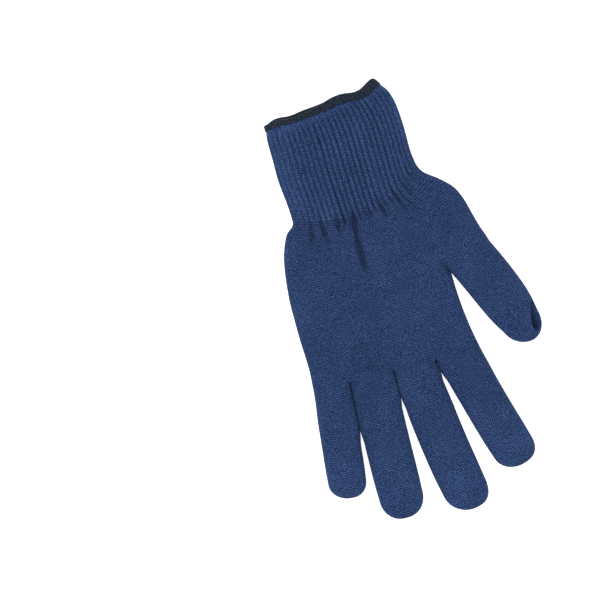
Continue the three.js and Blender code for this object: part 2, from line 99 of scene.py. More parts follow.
cuff = {
    "width": 75,
    "length": 57,
    "thickness": 10.2,
    "offset": 1.9,
    "wall": 1.6,
    "rimWall": 1.0,
    "pinchLength": 2.6,
    "ribsPerSide": 26,
    "ribDepth": 1.0,
    "valleyPower": 2.1,     # how narrow the valleys between the ribs are
    "valleySpread": (0.85, 1.1),
    "valleyShift": (-0.05, 0.05),
    "ribNumbers": (-30, 60),
    "rimFlattening": 0.85,  # share of the ribs that the edge presses flat
    # painted shade on the inside of the cuff
    "insideShade": 0.55,
    "rows": 62,
    "innerRows": 10,
    "coursePitch": 1.3,
    # across, how far the wrist and the rim stand off their straight lines, as shares of the length
    "ends": [
        (0.0, 0.0, -0.049), (0.1, -0.04, -0.011), (0.22, -0.075, -0.019), (0.36, -0.1, 0.0),
        (0.52, -0.108, 0.02), (0.68, -0.05, 0.046), (0.81, 0.035, 0.033), (0.88, 0.1, 0.054),
        (0.94, 0.165, 0.098), (0.98, 0.21, 0.123), (1.0, 0.23, 0.112),
    ],
    # up, how far the little finger side and the thumb side are pulled in, as shares of the half width
    "sides": [
        (0.0, 0.045, -0.03), (0.15, 0.035, -0.006), (0.42, -0.005, -0.004), (0.67, -0.007, 0.018),
        (0.82, -0.01, 0.066), (0.9, -0.006, 0.122), (1.0, 0.0, 0.212), (1.06, 0.004, 0.262),
    ],
    # across, how strongly the ribs stand out: they lie flatter on the little finger side
    "ribStrength": [
        (0.0, 0.6), (0.1, 0.7), (0.22, 0.9), (0.4, 1.0), (0.8, 1.0), (0.92, 0.85), (1.0, 0.7),
    ],
    # across, how far the front rim lies below the back one, so that the mouth shows
    "rimDrop": [
        (0.0, 0.0), (0.06, 0.7), (0.16, 1.35), (0.34, 1.5),
        (0.46, 1.0), (0.56, 0.2), (0.62, 0.0), (1.0, 0.0),
    ],
}

edgeBand = {
    "width": 4.4,
    "layer": 0.55,
    "gap": 0.28,
    "wraps": 112,           # turns of thread round the mouth: drawn coarser than the real 0.7 mm, to show
    "stationsPerWrap": 9,
    "samples": 400,         # points on each layer's rim that the stations are spaced out along
    "ridge": 0.34,          # height of one turn of thread
    "ridgePower": 0.7,
    "ridgeMiddle": 0.6,
    "slant": 1.3,
    "scallop": 0.5,
    "bendStart": 0.3,       # below the rim, where the thread starts to bend over it
    "outerSteps": 7,
    "bendSteps": 8,
    "innerSteps": 5,
    # lumps of the thread: height, how many turns and what length one takes, and its shares up and outwards
    "lump": 0.3, "lumpTurns": 5, "lumpLength": 3, "lumpSeed": 4.7, "lumpUp": 0.5, "lumpOut": 0.6,
    # waves of the band's foot: how near the foot they show, their height, and how many turns one takes
    "footZone": 0.2, "footWave": 0.4, "footTurns": 9, "footSeed": 9.1,
    # where the mouth folds over at its two ends: from where on and over what share of the half width, how far
    # in the band lies, and how much narrower it is
    "foldFrom": 0.86, "foldOver": 0.14, "foldInset": -0.12, "foldNarrowing": 0.22,
    # painted shade in the grooves between the turns of thread and in the slot that holds the rim
    "grooveShade": 0.35,
    "slotShade": 0.3,
    "sharpEdges": 80,
}
edgeBand["reach"] = edgeBand["layer"] + edgeBand["gap"] - (cuff["wall"] - cuff["rimWall"]) / 2

hand = {
    "wall": 1.4,
    "palmLength": 96,
    "palmWidth": 96.2,
    "palmThickness": 9.8,
    "fingerThickness": 8.2,
    "fingerGap": 0.4,
    "knuckleGroove": 1.8,
    "forkGroove": 10,
    "forkFromKnuckles": 45,
    "forkInset": 5,
    "bowFade": 0.7,
    "thinning": 0.55,
    "fingerSettling": 0.35,
    "gapOpening": 0.03,
    "walePitch": 1.56,      # one knitted column and one row of stitches
    "coursePitch": 1.32,
    "heelRows": 46,
    "palmRows": 34,
    "fingerRowPitch": 1.25,
    "fingerCells": 50,
    "thumbCells": 56,
    "sideCrowding": 0.5,
    "capRowShare": 0.26,    # share of a finger's rows that go to its round end
    "closingPower": 7,
    "swellPower": 3,
    "swellSteps": 15,
    "innerHeelRows": 8,
    "innerPalmRows": 6,
    "innerFingerRows": 12,
    # down from the wrist to the fork: how far the little finger side and the thumb side have opened out
    "opening": [
        (0.0, 0.0, 0.0), (0.06, 0.05, 0.04), (0.12, 0.34, 0.12), (0.22, 0.55, 0.36), (0.35, 0.73, 0.6),
        (0.5, 0.85, 0.73), (0.68, 0.94, 0.818), (0.84, 0.99, 0.9), (0.94, 1.0, 0.968), (1.0, 1.0, 1.0),
    ],
    # width at the root and at the middle, length, lean at the root and at the tip in degrees, and how far the
    # round end sits to the thumb's side
    "fingers": [
        (20.8, 22.0, 61.9, -5.2, -6.3, 0.8), (25.3, 25.6, 80.3, -2.2, 0.1, 0.1),
        (24.2, 26.2, 86.0, 3.6, 12.2, 2.0), (25.9, 24.8, 70.7, 13.4, 18.1, 1.6),
    ],
    "thumb": (27.8, 27.9, 58.3, 25.9, 18.4, 0.7),
    # at a share of the length: width and thickness. The round cap starts at capFrom.
    "fingerShape": {
        "rows": [(0.0, 1.0, 1.0), (0.14, 1.0, 1.0), (0.32, 1.0, 1.0), (0.52, 1.0, 0.98), (0.72, 1.0, 0.97),
                 (0.85, 0.98, 0.95), (1.0, 0.97, 0.86)],
        "capFrom": 0.85, "capPower": 0.86,
    },
    "thumbShape": {
        "rows": [(0.0, 1.0, 1.0), (0.2, 1.0, 1.0), (0.4, 0.99, 1.0), (0.58, 0.955, 0.98), (0.72, 0.87, 0.96),
                 (0.79, 0.81, 0.93), (1.0, 0.78, 0.84)],
        "capFrom": 0.79, "capPower": 1.05,
    },
    # where neighbouring fingers lie against each other: how far down they touch, and over what they part
    "touching": [(25.0, 9.0), (13.5, 8.0), (5.5, 7.0)],
    "touchGap": -0.08,
    "lowerRelief": 0.4,     # share of the ribs' depth in the layer that lies on the table
    # how far below the wrist line a rib starts to run out, and over what length: both differ from rib to rib
    "ribEnd": (-3.0, 2.0),
    "ribFade": (6.0, 12.0),
    # towards the thumb the ribs run on further: by how much, from where across the cuff, and over what share
    "ribFan": 12.0,
    "fanFrom": 0.62,
    "fanOver": 0.25,
    # the jersey is a little darker than the ribs, and grows lighter again towards the finger tips
    "palmTone": 0.93,
    "tipTone": 1.07,
    # folds: top point, bottom point, half width, depth, and where along it the fold is deepest. A fold also
    # fades in above its top, over foldLead of its length, and reaches foldReach half widths to its sides.
    "foldLead": 0.3,
    "foldReach": 3,
    "folds": [
        ((-1.5, 41.0), (-3.2, 26.5), 0.95, 4.8, 0.3),
        ((-2.9, 30.0), (-2.7, 3.5), 1.5, 2.2, 0.32),
        ((-20.4, 45.0), (-18.6, 27.0), 1.5, 1.6, 0.35),
        ((-11.6, 43.5), (-10.6, 30.0), 1.3, 1.4, 0.35),
        ((-33.4, 50.5), (-34.2, 37.0), 1.4, 1.4, 0.35),
        ((-24.4, 44.0), (-29.8, 26.0), 1.8, 1.3, 0.35),
        ((-28.6, 47.0), (-27.2, 38.0), 1.1, 0.7, 0.3),
        ((-6.6, 43.0), (-6.8, 33.0), 1.1, 0.6, 0.3),
        ((6.4, 43.5), (7.6, 33.0), 1.2, 0.8, 0.3),
        ((14.6, 46.0), (17.6, 32.5), 1.4, 0.9, 0.3),
        ((22.2, 51.0), (28.0, 36.0), 1.5, 0.9, 0.3),
        ((28.0, 55.0), (36.5, 39.0), 1.5, 0.9, 0.3),
        ((33.0, 59.0), (42.0, 45.0), 1.4, 0.8, 0.3),
        ((36.0, 61.0), (47.0, 49.0), 1.2, 0.6, 0.3),
        ((43.4, -4.0), (37.0, 7.0), 1.3, 1.2, 0.0),
        ((-20.0, -41.0), (5.5, -47.3), 1.9, 0.5, 0.6),
        ((4.0, -47.6), (38.5, -41.6), 1.9, 0.46, 0.35),
        ((-36.0, -29.2), (-10.5, -29.6), 2.4, 0.4, 0.75),
    ],
    # the hollow by the thumb's tip, in shares of its length and half width
    "pocket": {
        "from": 0.64, "to": 0.945, "depth": 4.6, "wallWidth": 0.07, "rimFrom": 0.97, "rimDepth": 0.5,
        # shade: how much painted shade darkens the hollow at its deepest
        "risePower": 1.5, "ridge": 0.6, "ridgeWidth": 0.14, "shade": 0.6,
        # along it: where its wall stands, and how deep it lies
        "rows": [(0.0, 0.93, 0.0), (0.2, 0.78, 0.5), (0.45, 0.57, 0.8), (0.75, 0.37, 1.0), (0.9, 0.37, 0.9),
                 (1.0, 0.46, 0.0)],
    },
    # down the palm: how far its little finger side lies in from the straight line
    "palmWaist": [(0.0, 0.0), (0.3, 0.1), (0.7, 0.75), (1.0, 0.0)],
}


def domeShare(s):
    return math.sqrt(max(0.0, 1 - min(1.0, abs(s)) ** lie["domePower"]))


# Heights of the upper and the lower layer of a tube lying flat, at s from -1 to 1 over its width
def tubeHeights(s, thickness, inset):
    edge = lie["edgeHeight"]
    turn = lie["flatSpread"] * math.sqrt(max(0.0, 1 - min(1.0, abs(s)) ** lie["sidePower"]))
    return (edge + (thickness - inset - edge) * domeShare(s), edge - (edge - inset) * min(1.0, turn))


def groovedHeights(whole, own, groove, inset):
    wholeUp, wholeLow = tubeHeights(*whole, inset)
    ownUp, ownLow = tubeHeights(*own, inset)
    return mix(wholeUp, ownUp, groove), mix(wholeLow, ownLow, groove)


# The little unevenness of the cloth, alike in every piece, so that the hand and the cuff meet
def laid(x, y, z, lift, layer):
    long, far = lie["swayLength"], lie["waveLength"]
    sway = noise.noise(Vector((x / long, y / long / lie["swayStretch"], lie["swaySeed"] + layer)))
    wave = noise.noise(Vector((x / far, y / far, lie["waveSeed"] + lie["waveSeedStep"] * layer)))
    height = lie["waveHeight"] * wave * (1 if layer == 0 else lie["lowerWave"])
    return Vector(((x + lie["swayWidth"] * sway * lift) * mm, y * mm, (z + height * lift) * mm))


# Columns over one finger as shares of its width, somewhat closer together at its sides
def laneShares(cells):
    shares = []
    for k in range(cells + 1):
        crowded = (math.sin((k / cells - 0.5) * math.pi) + 1) / 2
        shares.append(mix(k / cells, crowded, hand["sideCrowding"]))
    return shares


palmHalf = hand["palmWidth"] / 2
knuckleY = -hand["palmLength"] / 2
forkY = knuckleY + hand["forkFromKnuckles"]
forkX = palmHalf - hand["forkInset"]
thumbWidth = hand["thumb"][0]
forkShare = hand["palmWidth"] / (hand["palmWidth"] + thumbWidth)
thumbLean = math.radians(hand["thumb"][3])
thumbEnd = (forkX + thumbWidth * math.cos(thumbLean), forkY + thumbWidth * math.sin(thumbLean))

# Columns of the palm: share of the palm's width, and s over the column's own finger
palmColumns = [(0.0, -1.0)]
laneStart = 0.0
for finger in hand["fingers"]:
    for share in laneShares(hand["fingerCells"])[1:]:
        palmColumns.append(((laneStart + finger[0] * share) / hand["palmWidth"], share * 2 - 1))
    laneStart += finger[0]
thumbShares = laneShares(hand["thumbCells"])
wholeAcross = [share * forkShare for share, s in palmColumns]
wholeAcross += [forkShare + share * (1 - forkShare) for share in thumbShares[1:]]


def wristAt(across):
    return lie["wristY"] + cuff["length"] * readTable(cuff["ends"], across, 1)


def cuffPlan(across, up):
    half = cuff["width"] / 2
    left = -half * (1 - readTable(cuff["sides"], up, 1)) + cuff["offset"] / 2
    right = half * (1 - readTable(cuff["sides"], up, 2)) + cuff["offset"] / 2
    rim = lie["wristY"] + cuff["length"] * (1 + readTable(cuff["ends"], across, 2))
    return mix(left, right, across), mix(wristAt(across), rim, up)


# 1 at the rim, where the edge presses the cloth, and 0 in the free cuff
def rimPinch(up):
    fromRim = (1 - up) * cuff["length"]
    return smooth((edgeBand["width"] + cuff["pinchLength"] - fromRim) / cuff["pinchLength"])


def cuffPoint(across, up, layer, inset):
    s = across * 2 - 1
    if layer == 0 and up > 0:
        up *= 1 - readTable(cuff["rimDrop"], across, 1) / cuff["length"]
    lift = rimPinch(up) * edgeBand["reach"] if layer else 0
    x, y = cuffPlan(across, up)
    return x - s * inset, y, tubeHeights(s, cuff["thickness"], inset + lift)[layer]


# Where each column of the cloth lies among the ribs, counted along the section
def ribPhases(layer):
    lengths = [0.0]
    for k in range(1, len(wholeAcross)):
        here = Vector(cuffPoint(wholeAcross[k], 0.5, layer, 0))
        lengths.append(lengths[-1] + (here - Vector(cuffPoint(wholeAcross[k - 1], 0.5, layer, 0))).length)
    turn = 1 if layer == 0 else -1
    return [0.5 + turn * cuff["ribsPerSide"] * length / lengths[-1] for length in lengths]


phases = [ribPhases(0), ribPhases(1)]
dice = random.Random(11)
ribNumbers = range(*cuff["ribNumbers"])
ribSpread = {k: (dice.uniform(*cuff["valleySpread"]), dice.uniform(*cuff["valleyShift"])) for k in ribNumbers}
ribEnds = {k: (dice.uniform(*hand["ribEnd"]), dice.uniform(*hand["ribFade"])) for k in ribNumbers}


# How far a column lies below the ribs' crests, from 0 to about 1
def ribValley(layer, k):
    phase = phases[layer][k]
    strength, shift = ribSpread[round(phase)]
    away = min(0.5, abs(phase - round(phase) - shift))
    return strength * (0.5 + 0.5 * math.cos(2 * math.pi * away)) ** cuff["valleyPower"]


# How much of a rib is left at a distance below the wrist: each runs out at its own place, and those towards
# the thumb run on further and fan out
def ribLeft(layer, k, below):
    end, fade = ribEnds[round(phases[layer][k])]
    fan = hand["ribFan"] * smooth((wholeAcross[k] - hand["fanFrom"]) / hand["fanOver"])
    return 1 - smooth((below - end) / (fade + fan))


def ribDepthAt(layer, k):
    return cuff["ribDepth"] * readTable(cuff["ribStrength"], wholeAcross[k], 1) * ribValley(layer, k)


valleys = [[ribDepthAt(layer, k) for k in range(len(wholeAcross))] for layer in (0, 1)]


# rows holds lists of (place, (u, v), shade). A grid is made by the operator, then each vertex goes to its row
# and column.
def addCloth(mesh, rows):
    across, down = len(rows[0]) - 1, len(rows) - 1
    made = bmesh.ops.create_grid(mesh, x_segments=across, y_segments=down, size=1)["verts"]
    uvLayer = mesh.loops.layers.uv.verify()
    shadeLayer = mesh.verts.layers.float["shade"]
    spots = {}
    for vert in made:
        column = round((vert.co.x + 1) / 2 * across)
        row = round((vert.co.y + 1) / 2 * down)
        place, uv, shade = rows[row][column]
        vert.co = place
        vert[shadeLayer] = shade
        spots[vert] = uv
    for face in {face for vert in made for face in vert.link_faces}:
        face.smooth = True
        for loop in face.loops:
            loop[uvLayer].uv = spots[loop.vert]


def newCloth():
    mesh = bmesh.new()
    mesh.verts.layers.float.new("shade")
    mesh.loops.layers.uv.new("knit")
    return mesh


# Closes a cloth's seams, turns its faces outwards and makes it a piece
def finishCloth(mesh, name, material, sharpEdges):
    seam, sliver = 2e-6, 1e-7
    bmesh.ops.remove_doubles(mesh, verts=mesh.verts[:], dist=seam)
    bmesh.ops.dissolve_degenerate(mesh, edges=mesh.edges[:], dist=sliver)
    bmesh.ops.recalc_face_normals(mesh, faces=mesh.faces[:])
    for edge in mesh.edges:
        if len(edge.link_faces) == 2 and edge.calc_face_angle(0) > math.radians(sharpEdges):
            edge.smooth = False
    openEdges = sum(1 for edge in mesh.edges if len(edge.link_faces) != 2)
    data = bpy.data.meshes.new(name)
    mesh.to_mesh(data)
    mesh.free()
    piece = bpy.data.objects.new(name, data)
    bpy.context.scene.collection.objects.link(piece)
    data.materials.append(material)
    print(name, len(data.polygons), "faces,", openEdges, "open edges")
    return piece


def fromHex(text):
    parts = [int(text[k:k + 2], 16) / 255 for k in (1, 3, 5)]
    return tuple([c / 12.92 if c <= 0.04045 else ((c + 0.055) / 1.055) ** 2.4 for c in parts] + [1.0])


# Adds a node: settings are its own values, and inputs are numbers, colours, or nodes and sockets to link
def addNode(tree, kind, inputs, **settings):
    node = tree.nodes.new(kind)
    for name, value in settings.items():
        setattr(node, name, value)
    for name, value in inputs.items():
        if isinstance(value, bpy.types.Node):
            value = value.outputs[0]
        if isinstance(value, bpy.types.NodeSocket):
            tree.links.new(value, node.inputs[name])
        else:
            node.inputs[name].default_value = value
    return node


# Acrylic yarn, knitted: matt, with a soft bloom of fibres at the edges, and flecked because light and dark
# fibres are spun together
def knittedYarn(name, look):
    material = bpy.data.materials.new(name)
    material.use_nodes = True
    tree = material.node_tree
    tree.nodes.clear()
    calc, grain = "ShaderNodeMath", "ShaderNodeTexNoise"
    place = addNode(tree, "ShaderNodeTexCoord", {}).outputs["Object"]
    stitches = addNode(tree, "ShaderNodeUVMap", {}, uv_map="knit")
    wander = addNode(tree, grain, {"Vector": place, "Scale": look["wanderScale"], "Detail": 2.0})
    wander = addNode(tree, "ShaderNodeVectorMath", {0: wander.outputs["Color"], 1: (0.5, 0.5, 0.5)},
                     operation="SUBTRACT")
    wander = addNode(tree, "ShaderNodeVectorMath", {0: wander, 1: (look["wander"],) * 3, 2: stitches},
                     operation="MULTIPLY_ADD")
    parts = addNode(tree, "ShaderNodeSeparateXYZ", {"Vector": wander})
    # one stitch: two legs that lean to the middle of their column
    inColumn = addNode(tree, calc, {0: parts.outputs["X"]}, operation="FRACT")
    fromMiddle = addNode(tree, calc, {0: inColumn, 1: 0.5}, operation="SUBTRACT")
    fromMiddle = addNode(tree, calc, {0: fromMiddle}, operation="ABSOLUTE")
    leaning = addNode(tree, calc, {0: fromMiddle, 1: look["lean"] * 2, 2: parts.outputs["Y"]},
                      operation="MULTIPLY_ADD")
    leaning = addNode(tree, calc, {0: leaning}, operation="FRACT")
    strand = addNode(tree, calc, {0: leaning, 1: 2.0, 2: -1.0}, operation="MULTIPLY_ADD")
    strand = addNode(tree, calc, {0: strand}, operation="ABSOLUTE")
    strand = addNode(tree, calc, {0: strand, 1: look["strandSharpness"]}, operation="POWER")
    leg = addNode(tree, calc, {0: fromMiddle, 1: 4.0, 2: -1.0}, operation="MULTIPLY_ADD")
    leg = addNode(tree, calc, {0: leg}, operation="ABSOLUTE")
    leg = addNode(tree, calc, {0: leg, 1: look["legSharpness"]}, operation="POWER")
    gaps = addNode(tree, calc, {0: strand, 1: look["courseGap"]}, operation="MULTIPLY")
    gaps = addNode(tree, calc, {0: leg, 1: look["columnGap"], 2: gaps}, operation="MULTIPLY_ADD")
    # fibres, flecks and slow unevenness of the dye
    fibre = addNode(tree, grain, {"Vector": place, "Scale": look["fibreScale"], "Detail": 3.0,
                                  "Roughness": 0.65})
    fleck = addNode(tree, grain, {"Vector": place, "Scale": look["fleckScale"], "Detail": 1.0,
                                  "Roughness": 0.6})
    cloud = addNode(tree, grain, {"Vector": place, "Scale": look["cloudScale"], "Detail": 4.0})
    height = addNode(tree, calc, {0: fibre, 1: look["fibreHeight"], 2: 1.0}, operation="MULTIPLY_ADD")
    height = addNode(tree, calc, {0: height, 1: gaps}, operation="SUBTRACT")
    tone = addNode(tree, calc, {0: fleck, 1: look["fleck"], 2: 0.5 - look["fleck"] / 2},
                   operation="MULTIPLY_ADD")
    tone = addNode(tree, calc, {0: cloud, 1: look["cloud"], 2: tone}, operation="MULTIPLY_ADD")
    tone = addNode(tree, calc, {0: gaps, 1: -look["depth"], 2: tone}, operation="MULTIPLY_ADD")
    yarn = addNode(tree, "ShaderNodeValToRGB", {"Fac": tone})
    ramp = yarn.color_ramp
    ramp.elements[0].position, ramp.elements[1].position = look["ramp"][0], look["ramp"][2]
    ramp.elements[0].color, ramp.elements[1].color = fromHex(look["dark"]), fromHex(look["light"])
    ramp.elements.new(look["ramp"][1]).color = fromHex(look["yarn"])
    # the shade attribute paints shade into the colour: below 1 it mixes the yarn towards the deep colour
    shade = addNode(tree, "ShaderNodeAttribute", {}, attribute_name="shade").outputs["Fac"]
    colour = addNode(tree, "ShaderNodeMix", {0: shade, 6: fromHex(look["deep"]), 7: yarn}, data_type="RGBA",
                     clamp_factor=False)
    bump = addNode(tree, "ShaderNodeBump", {"Height": height, "Strength": look["bump"],
                                            "Distance": look["relief"] * mm})
    surface = addNode(tree, "ShaderNodeBsdfPrincipled", {
        "Base Color": colour.outputs[2], "Roughness": look["roughness"], "Normal": bump,
        "Specular IOR Level": look["specular"], "Sheen Weight": look["sheen"],
        "Sheen Roughness": look["sheenRoughness"],
        "Sheen Tint": fromHex(look["bloom"]),
    })
    addNode(tree, "ShaderNodeOutputMaterial", {"Surface": surface})
    return material


# Scales are patches to the metre: a fleck is 0.4 mm, a tuft of fibres 0.7 mm and a cloud of the dye 17 mm.
# Flecks and tufts are drawn coarser than single fibres, which are too fine to show.
jerseyLook = {
    # deep is the colour that painted shade darkens the yarn towards
    "yarn": "#223861", "light": "#4f6697", "dark": "#0a1831", "deep": "#0b1428", "bloom": "#8fa3d0",
    "ramp": (0.0, 0.5, 1.0), "fleck": 2.6, "fleckScale": 2600.0, "depth": 0.62, "cloud": 0.28,
    "courseGap": 0.75, "columnGap": 0.5, "wander": 0.42, "wanderScale": 500.0, "lean": 0.5,
    "strandSharpness": 2.2, "legSharpness": 3.0, "fibreScale": 1500.0, "fibreHeight": 0.35,
    "cloudScale": 60.0, "bump": 0.8, "relief": 0.35, "roughness": 0.9, "specular": 0.1, "sheen": 0.08,
    "sheenRoughness": 0.45,
}
ribLook = dict(jerseyLook, courseGap=0.6, columnGap=0.3, cloud=0.28)


# How deep the folds lie at a place, in millimetres
def foldDepth(x, y):
    total = 0.0
    for top, bottom, halfWidth, depth, deepest in hand["folds"]:
        runX, runY = bottom[0] - top[0], bottom[1] - top[1]
        along = ((x - top[0]) * runX + (y - top[1]) * runY) / (runX * runX + runY * runY)
        if along < -hand["foldLead"] or along > 1:
            continue
        offX, offY = x - top[0] - runX * along, y - top[1] - runY * along
        off = (offX * offX + offY * offY) / (halfWidth * halfWidth)
        if off > hand["foldReach"] ** 2:
            continue
        if along < deepest:
            fade = smooth(1 - (deepest - along) / (deepest + hand["foldLead"]))
        else:
            fade = 1 - smooth((along - deepest) / (1 - deepest))
        total = max(total, depth * fade * math.exp(-off))
    return total


# Painted shade: the yarn's colour is made darker deep in a fold and between two ribs
def yarnShade(fold, valley, bare=1.0):
    shade = bare - lie["foldShade"] * min(1.0, fold / lie["foldFull"])
    return max(lie["leastShade"], shade - lie["valleyShade"] * valley / cuff["ribDepth"])


def cuffRows(rows, inner):
    layers = []
    for layer in (0, 1):
        grid = []
        for row in range(rows + 1):
            up = row / rows
            pinch = rimPinch(up)
            pressed = (cuff["wall"] - cuff["rimWall"]) / 2 * pinch
            line = []
            for k, across in enumerate(wholeAcross):
                left = (1 - cuff["rimFlattening"] * pinch) * ribLeft(layer, k, -up * cuff["length"])
                valley = 0 if inner else valleys[layer][k] * left
                depth = cuff["wall"] - pressed if inner else pressed + valley
                x, y, z = cuffPoint(across, up, layer, depth)
                lift = domeShare(across * 2 - 1)
                fold = foldDepth(x, y) * lift if layer == 0 and not inner else 0
                place = laid(x, y, z - fold, lift, layer)
                uv = (phases[layer][k], up * cuff["length"] / cuff["coursePitch"])
                # painted shade: darker on the inside, and on the outer skin darker in folds and between the
                # ribs
                shade = cuff["insideShade"] if inner else yarnShade(fold, valley)
                line.append((place, uv, shade))
            grid.append(line)
        layers.append(grid)
    return layers


def makeCuff():
    mesh = newCloth()
    outer = cuffRows(cuff["rows"], False)
    inner = cuffRows(cuff["innerRows"], True)
    for layer in (0, 1):
        addCloth(mesh, outer[layer])
        addCloth(mesh, inner[layer])
        addCloth(mesh, [outer[layer][0], inner[layer][0]])
        addCloth(mesh, [outer[layer][-1], inner[layer][-1]])
    yarn = knittedYarn("navy acrylic yarn, rib knitted", ribLook)
    piece = finishCloth(mesh, "rib_knit_cuff", yarn, lie["sharpEdges"])
    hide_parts("ribbed_cuff")
    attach(piece, "root")
    return piece


# How far the wrist line stands off the straight lines over the palm and over the thumb
def wristBow(across):
    low = 0.0 if across < forkShare else forkShare
    high = forkShare if across < forkShare else 1.0
    straight = mix(wristAt(low), wristAt(high), (across - low) / (high - low))
    return wristAt(across) - straight


# The shade given with each point is painted shade: darker inside the hand, in folds and between the ribs
def clothPoint(x, y, heights, lift, layer, uv, inset, rib=0.0, bare=hand["palmTone"]):
    if inset:
        return (laid(x, y, heights[layer], lift, layer), uv, lie["insideShade"])
    fold = foldDepth(x, y) * lift if layer == 0 else 0.0
    z = heights[layer] - (fold + rib) * (1 if layer == 0 else -hand["lowerRelief"])
    return (laid(x, y, z, lift, layer), uv, yarnShade(fold, rib, bare))


# From the wrist to the row through the fork
def heelCloth(layer, inset, rows):
    leftEdge, rightEdge, forkStart = cuffPlan(0, 0), cuffPlan(1, 0), cuffPlan(forkShare, 0)
    courses = (lie["wristY"] - forkY) / hand["coursePitch"]
    grid = []
    for row in range(rows + 1):
        down = row / rows
        little = readTable(hand["opening"], down, 1)
        outer = readTable(hand["opening"], down, 2)
        left = (mix(leftEdge[0], -palmHalf, little) + inset, mix(leftEdge[1], forkY, down))
        right = (mix(rightEdge[0], thumbEnd[0], outer) - inset, mix(rightEdge[1], thumbEnd[1], down))
        middle = (mix(forkStart[0], forkX, down), mix(forkStart[1], forkY + inset, down))
        bowShare = 1 - smooth(down / hand["bowFade"])
        thickness = mix(cuff["thickness"], hand["palmThickness"], smooth(down / hand["thinning"]))
        groove = smooth(1 - (1 - down) * (forkStart[1] - forkY) / hand["forkGroove"])
        line = []
        for k, across in enumerate(wholeAcross):
            inPalm = k < len(palmColumns)
            share = palmColumns[k][0] if inPalm else thumbShares[k - len(palmColumns) + 1]
            start, end = (left, middle) if inPalm else (middle, right)
            x = mix(start[0], end[0], share)
            y = mix(start[1], end[1], share) + wristBow(across) * bowShare
            whole, own = across * 2 - 1, share * 2 - 1
            ownThickness = hand["palmThickness"] if inPalm else hand["fingerThickness"]
            heights = groovedHeights((whole, thickness), (own, ownThickness), groove, inset)
            lift = mix(domeShare(whole), domeShare(own), groove)
            below = wristAt(across) - y
            rib = valleys[layer][k] * ribLeft(layer, k, below)
            wale = share * hand["palmWidth"] if inPalm else hand["palmWidth"] + share * thumbWidth
            uv = (wale / hand["walePitch"], down * courses)
            # the ribs also draw the cloth in at its sides, as they do in the cuff
            bare = mix(1.0, hand["palmTone"], smooth(below / hand["ribFade"][1]))
            line.append(clothPoint(x - whole * rib, y, heights, lift, layer, uv, inset, rib * lift, bare))
        grid.append(line)
    return grid


def palmCloth(layer, inset, rows):
    start = (lie["wristY"] - forkY) / hand["coursePitch"]
    grid = []
    for row in range(rows + 1):
        step = row / rows
        y = mix(forkY, knuckleY + (inset if row == rows else 0), step)
        left = -palmHalf + inset + readTable(hand["palmWaist"], step, 1)
        right = forkX + hand["forkInset"] * step ** 2 - inset
        groove = 1 if row == rows else smooth(1 - (y - knuckleY) / hand["knuckleGroove"])
        thinned = smooth(1 - (1 - step) / hand["thinning"])
        thickness = mix(hand["palmThickness"], hand["fingerThickness"], thinned)
        line = []
        for share, s in palmColumns:
            whole = share * 2 - 1
            heights = groovedHeights((whole, thickness), (s, thickness), groove, inset)
            lift = mix(domeShare(whole), domeShare(s), groove)
            uv = (share * hand["palmWidth"] / hand["walePitch"],
                  start + step * hand["forkFromKnuckles"] / hand["coursePitch"])
            line.append(clothPoint(mix(left, right, share), y, heights, lift, layer, uv, inset))
        grid.append(line)
    return grid


def pocketAt(at, s):
    pocket = hand["pocket"]
    along = (at - pocket["from"]) / (pocket["to"] - pocket["from"])
    # at the thumb's side itself the upper layer still meets the lower one
    if along <= 0 or along >= 1 or s >= 1:
        return 0.0
    wall, deep = readTable(pocket["rows"], along, 1), readTable(pocket["rows"], along, 2)
    drop = smooth((s - wall) / pocket["wallWidth"])
    rise = min(1.0, max(0.0, (s - wall) / (pocket["rimFrom"] - wall)))
    bulge = math.exp(-((s - wall + pocket["ridgeWidth"]) / pocket["ridgeWidth"]) ** 2)
    depth = mix(pocket["depth"], pocket["rimDepth"], rise ** pocket["risePower"])
    return deep * (drop * depth - pocket["ridge"] * bulge)


# The centre line of a finger, which bends from its lean at the root to its lean at the tip
def centreLine(root, finger, inset, at):
    length, leanRoot, leanTip = finger[2:5]
    rootLean, tipLean = math.radians(leanRoot), math.radians(leanTip)
    bend = (root[0] + math.sin(rootLean) * length / 2, root[1] - math.cos(rootLean) * length / 2)
    reach = length / 2 - inset
    tip = (bend[0] + math.sin(tipLean) * reach, bend[1] - math.cos(tipLean) * reach)
    x = (1 - at) ** 2 * root[0] + 2 * at * (1 - at) * bend[0] + at * at * tip[0]
    y = (1 - at) ** 2 * root[1] + 2 * at * (1 - at) * bend[1] + at * at * tip[1]
    dx = (1 - at) * (bend[0] - root[0]) + at * (tip[0] - bend[0])
    dy = (1 - at) * (bend[1] - root[1]) + at * (tip[1] - bend[1])
    return x, y, math.atan2(dx, -dy)


# The half width of a finger at a share of its length, before its round cap
def halfWidth(finger, shape, at):
    settled = smooth(at / hand["fingerSettling"])
    return mix(finger[0], finger[1], settled) / 2 * readTable(shape["rows"], at, 1)


fingerRoots = []
fingerSide = -palmHalf
for finger in hand["fingers"]:
    fingerRoots.append((fingerSide + finger[0] / 2, knuckleY))
    fingerSide += finger[0]


# How far each of two neighbours swells sideways to lie against the other, at a distance below the knuckles
def touchSwell(lane):
    touch, part = hand["touching"][lane]
    table = []
    for step in range(hand["swellSteps"] + 1):
        down = (touch + part) * step / hand["swellSteps"]
        sides = []
        for finger, root, turn in ((hand["fingers"][lane], fingerRoots[lane], 1),
                                   (hand["fingers"][lane + 1], fingerRoots[lane + 1], -1)):
            at = down / finger[2]
            x, y, tilt = centreLine(root, finger, 0, at)
            tilt = mix(0, tilt, smooth(at / hand["fingerSettling"]))
            sides.append(x + turn * (halfWidth(finger, hand["fingerShape"], at) - hand["fingerGap"] / 2)
                         * math.cos(tilt))
        still = 1 - smooth((down - touch) / part)
        table.append((down, max(0.0, sides[1] - sides[0] - hand["touchGap"]) / 2 * still))
    return table


swells = [touchSwell(lane) for lane in range(3)]


